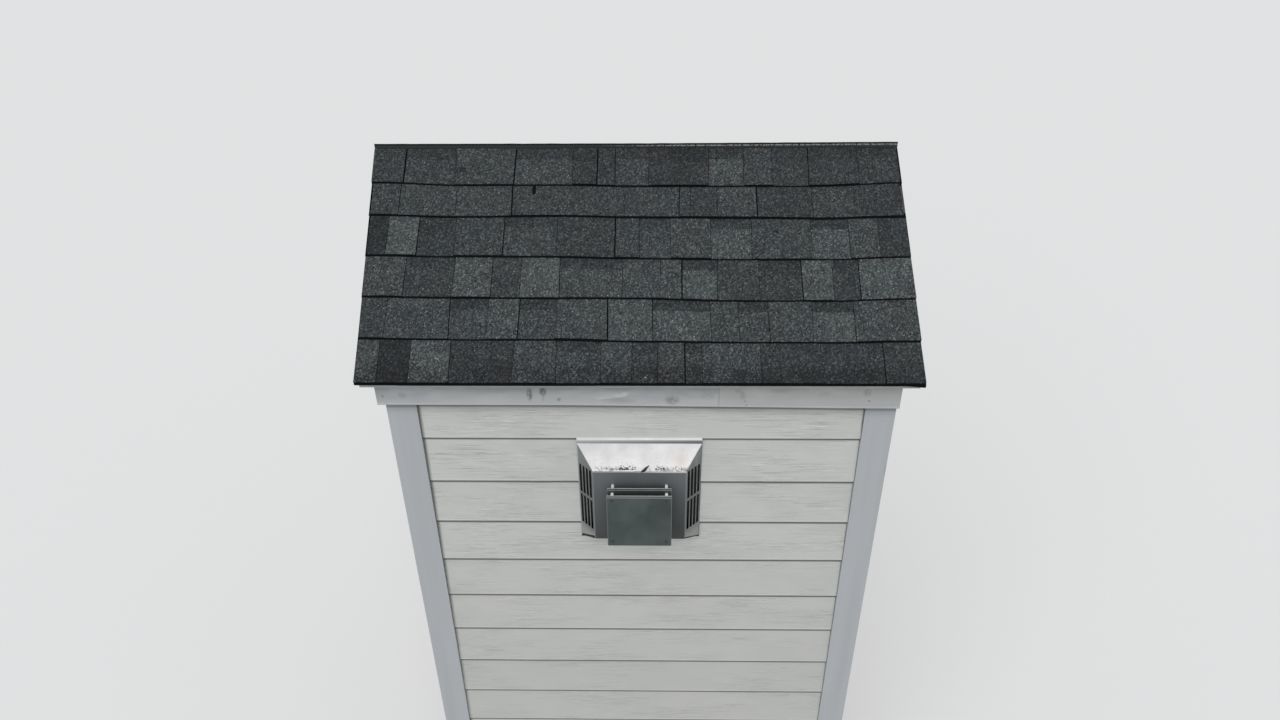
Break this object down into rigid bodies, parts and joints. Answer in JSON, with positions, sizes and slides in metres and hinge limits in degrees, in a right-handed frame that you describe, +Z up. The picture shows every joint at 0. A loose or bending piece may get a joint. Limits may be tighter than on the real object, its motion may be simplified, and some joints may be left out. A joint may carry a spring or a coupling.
{
  "type": "shed-roofed wall bump-out with direct-vent cap",
  "caption": "Shed-roofed bump-out of a house wall that boxes in a fireplace, with lapped siding, shingle roof and a louvred direct-vent cap on its front.",
  "frame": {"origin": "on the ground, at the middle of the bump-out, in the plane of the house wall", "axes": "+X to the right along the house wall seen from outside, +Y into the house, +Z up"},
  "size_m": [1.7336, 0.7228, 3.4491],
  "materials": {
    "concrete": "cast concrete, damp-stained at its foot",
    "framing_lumber": "planed softwood",
    "strand_board": "oriented strand board",
    "painted_siding": "wood-grain lap siding, light grey paint",
    "wrapped_trim": "wood boards wrapped in light grey coated aluminium",
    "light_roof_metal": "coated roof edge metal",
    "dark_roof_metal": "dark coated flashing",
    "shingles": "laminated asphalt shingles with mineral granules",
    "bright_sheet": "clean pale sheet with specks of dirt",
    "galvanised_steel": "dull weathered galvanised sheet",
    "shield_steel": "dull dark sheet steel",
    "bright_spacers": "bright tube"
  },
  "bodies": {
    "root": {"slab": "concrete", "bottom_plates": "framing_lumber", "front_studs": "framing_lumber", "left_studs": "framing_lumber", "right_studs": "framing_lumber", "vent_blocking": "framing_lumber", "top_plates": "framing_lumber", "gable_studs": "framing_lumber", "ledger": "framing_lumber", "rafters": "framing_lumber", "roof_deck": "strand_board", "sheathing_front": "strand_board", "sheathing_left": "strand_board", "sheathing_right": "strand_board", "siding_front": "painted_siding", "siding_left": "painted_siding", "siding_right": "painted_siding", "corner_board_left": "wrapped_trim", "corner_board_right": "wrapped_trim", "side_frieze_left": "wrapped_trim", "side_frieze_right": "wrapped_trim", "fascia": "wrapped_trim", "soffit": "wrapped_trim", "drip_edge": "light_roof_metal", "rake_edge_left": "dark_roof_metal", "rake_edge_right": "dark_roof_metal", "starter_strip": "shingles", "shingle_course_1": "shingles", "shingle_course_2": "shingles", "shingle_course_3": "shingles", "shingle_course_4": "shingles", "shingle_course_5": "shingles", "shingle_course_6": "shingles", "head_flashing": "dark_roof_metal", "vent_plate": "bright_sheet", "vent_top": "bright_sheet", "vent_bottom": "galvanised_steel", "vent_front": "galvanised_steel", "vent_grille_left": "galvanised_steel", "vent_grille_right": "galvanised_steel", "shield_inner": "shield_steel", "shield_outer": "shield_steel", "shield_spacers": "bright_spacers", "flue_collar": "galvanised_steel", "air_collar": "galvanised_steel"}
  },
  "joints": []
}
